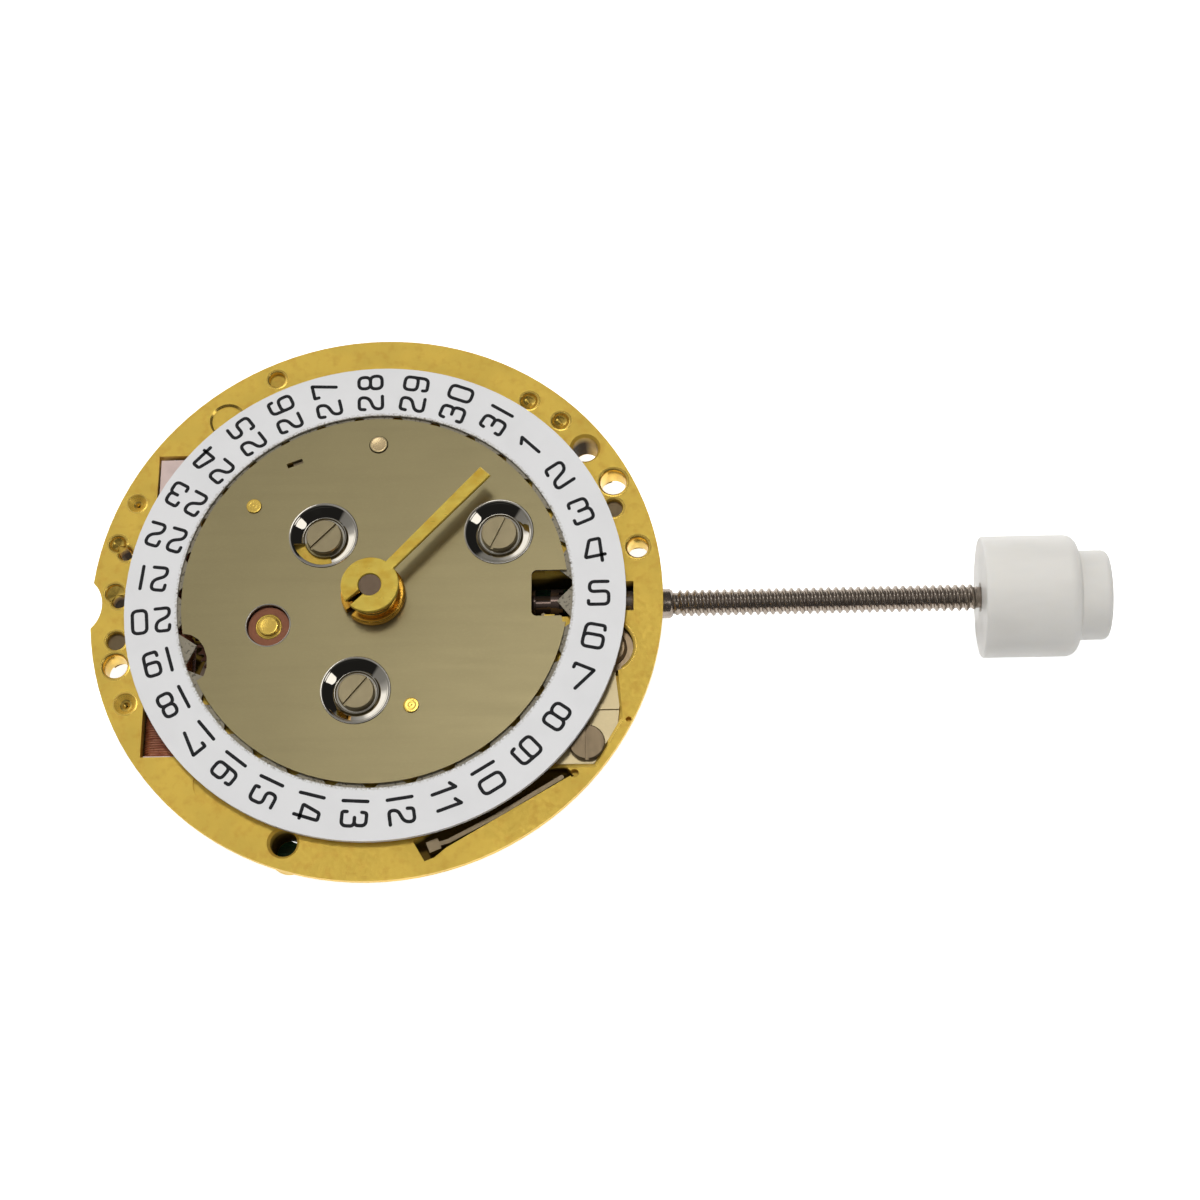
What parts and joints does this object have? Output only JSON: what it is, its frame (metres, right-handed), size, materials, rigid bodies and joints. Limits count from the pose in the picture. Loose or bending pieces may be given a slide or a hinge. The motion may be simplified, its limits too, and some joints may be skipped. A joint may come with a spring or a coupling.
{
  "type": "quartz watch movement",
  "caption": "Round analogue quartz watch movement with a date disc, one hand, a threaded winding stem and a plastic crown.",
  "frame": {"origin": "on the centre axis, at the dial side face of the main plate's rim", "axes": "+Z towards the dial and the hands, +X along the winding stem towards the crown (3 o'clock), +Y towards 12 o'clock"},
  "size_m": [0.046, 0.026, 0.0059],
  "materials": {
    "plate_brass": "gilded brass, fine satin",
    "champagne_metal": "nickel plated brass, brushed to a warm champagne grey",
    "polished_steel": "polished steel",
    "spring_steel": "grey satin steel",
    "gear_brass": "cut brass",
    "hand_gold": "gilded and polished",
    "arbor_steel": "turned steel",
    "soft_iron": "annealed iron, matte grey",
    "white_print": "white lacquered brass with black printed numerals",
    "crown_plastic": "white translucent plastic, softly polished",
    "copper_wire": "enamelled copper wire",
    "terminal_plastic": "pinkish white plastic",
    "black_plastic": "black plastic",
    "board_green": "glass fibre board with green lacquer",
    "battery_steel": "nickel plated steel",
    "jewel_ruby": "synthetic ruby, polished"
  },
  "bodies": {
    "movement": {"main_plate": "plate_brass", "calendar_plate": "champagne_metal", "calendar_plate_screws": "polished_steel", "calendar_posts": "plate_brass", "date_jumper": "spring_steel", "date_jumper_post": "polished_steel", "date_wheel_stud": "plate_brass", "minute_wheel_stud": "plate_brass", "setting_wheel_stud": "plate_brass", "centre_bush": "plate_brass", "train_jewels": "jewel_ruby", "train_bridge": "champagne_metal", "train_bridge_screws": "polished_steel", "stator": "soft_iron", "stator_screws": "polished_steel", "coil_core": "soft_iron", "coil_bobbin": "terminal_plastic", "coil_winding": "copper_wire", "battery": "battery_steel", "battery_clamp": "spring_steel", "battery_clamp_screw": "polished_steel", "battery_contact": "spring_steel", "battery_insulator": "black_plastic", "circuit_board": "board_green", "circuit_screws": "polished_steel", "circuit_chip": "black_plastic", "quartz_crystal": "battery_steel", "setting_lever_jumper": "spring_steel", "setting_lever_jumper_screw": "polished_steel", "yoke_spring": "spring_steel", "lever_studs": "polished_steel", "dial_foot_keepers": "polished_steel", "rim_pins": "plate_brass"},
    "date_ring": {"date_disc": "white_print"},
    "hand": {"cannon_pinion": "arbor_steel", "minute_hand": "hand_gold", "hand_collet": "hand_gold"},
    "minute_gear": {"minute_wheel": "gear_brass"},
    "hour_gear": {"hour_wheel": "gear_brass"},
    "date_gear": {"date_driving_wheel": "gear_brass", "date_finger": "gear_brass"},
    "setting_gear": {"setting_wheel": "gear_brass"},
    "centre_gear": {"centre_wheel": "gear_brass"},
    "third_gear": {"third_wheel": "gear_brass"},
    "fourth_gear": {"fourth_wheel": "gear_brass"},
    "fifth_gear": {"fifth_wheel": "gear_brass"},
    "rotor_gear": {"rotor": "arbor_steel"},
    "clutch": {"sliding_pinion": "spring_steel"},
    "stem_group": {"stem": "spring_steel", "crown": "crown_plastic"},
    "lever": {"setting_lever": "champagne_metal"},
    "yoke_arm": {"yoke": "spring_steel"}
  },
  "joints": [
    {"name": "fourth_wheel_turn", "type": "hinge", "parent": "movement", "child": "fourth_gear", "pos_m": [-0.00361, -0.00341, 0], "axis": [0, 0, 1], "continuous": true},
    {"name": "third_wheel_turn", "type": "hinge", "parent": "movement", "child": "third_gear", "pos_m": [-0.00098, -0.0027, 0], "axis": [0, 0, 1], "continuous": true},
    {"name": "centre_wheel_turn", "type": "hinge", "parent": "movement", "child": "centre_gear", "pos_m": [0, 0, 0], "axis": [0, 0, 1], "continuous": true},
    {"name": "fifth_wheel_turn", "type": "hinge", "parent": "movement", "child": "fifth_gear", "pos_m": [-0.00563, -0.00287, 0], "axis": [0, 0, 1], "continuous": true},
    {"name": "rotor_turn", "type": "hinge", "parent": "movement", "child": "rotor_gear", "pos_m": [-0.0064, -0.001, 0], "axis": [0, 0, 1], "continuous": true},
    {"name": "hand_turn", "type": "hinge", "parent": "movement", "child": "hand", "pos_m": [0, 0, 0], "axis": [0, 0, 1], "continuous": true},
    {"name": "minute_wheel_turn", "type": "hinge", "parent": "movement", "child": "minute_gear", "pos_m": [0.00251, -0.00067, 0], "axis": [0, 0, 1], "continuous": true},
    {"name": "hour_wheel_turn", "type": "hinge", "parent": "movement", "child": "hour_gear", "pos_m": [0, 0, 0], "axis": [0, 0, 1], "continuous": true},
    {"name": "date_wheel_turn", "type": "hinge", "parent": "movement", "child": "date_gear", "pos_m": [-0.00475, -0.0013, 0], "axis": [0, 0, 1], "continuous": true},
    {"name": "setting_wheel_turn", "type": "hinge", "parent": "movement", "child": "setting_gear", "pos_m": [0.0053, -0.00106, 0], "axis": [0, 0, 1], "continuous": true},
    {"name": "date_disc_turn", "type": "hinge", "parent": "movement", "child": "date_ring", "pos_m": [0, 0, 0], "axis": [0, 0, 1], "continuous": true, "deforming": ["date_jumper"]},
    {"name": "crown_turn", "type": "hinge", "parent": "movement", "child": "clutch", "pos_m": [0, 0, -0.0012], "axis": [1, 0, 0], "continuous": true},
    {"name": "stem_pull", "type": "slide", "parent": "clutch", "child": "stem_group", "axis": [1, 0, 0], "range_m": [0, 0.001]},
    {"name": "setting_lever_turn", "type": "hinge", "parent": "movement", "child": "lever", "pos_m": [0.01035, -0.0034, 0], "axis": [0, 0, 1], "range_deg": [-19.3, 0.2]},
    {"name": "yoke_turn", "type": "hinge", "parent": "movement", "child": "yoke_arm", "pos_m": [0.00845, -0.0046, 0], "axis": [0, 0, 1], "range_deg": [-0.2, 2.2]}
  ],
  "couplings": [
    {"joint": "third_wheel_turn", "follows": "fourth_wheel_turn", "ratio": -0.13333},
    {"joint": "centre_wheel_turn", "follows": "fourth_wheel_turn", "ratio": 0.016667},
    {"joint": "fifth_wheel_turn", "follows": "fourth_wheel_turn", "ratio": -3.75},
    {"joint": "rotor_turn", "follows": "fourth_wheel_turn", "ratio": 30},
    {"joint": "minute_wheel_turn", "follows": "hand_turn", "ratio": -0.33333},
    {"joint": "hour_wheel_turn", "follows": "hand_turn", "ratio": 0.083333},
    {"joint": "date_wheel_turn", "follows": "hand_turn", "ratio": -0.041667},
    {"joint": "setting_wheel_turn", "follows": "hand_turn", "ratio": 0.75},
    {"joint": "setting_lever_turn", "follows": "stem_pull", "rad_per_m": -332.52},
    {"joint": "yoke_turn", "follows": "stem_pull", "rad_per_m": 34.907}
  ]
}
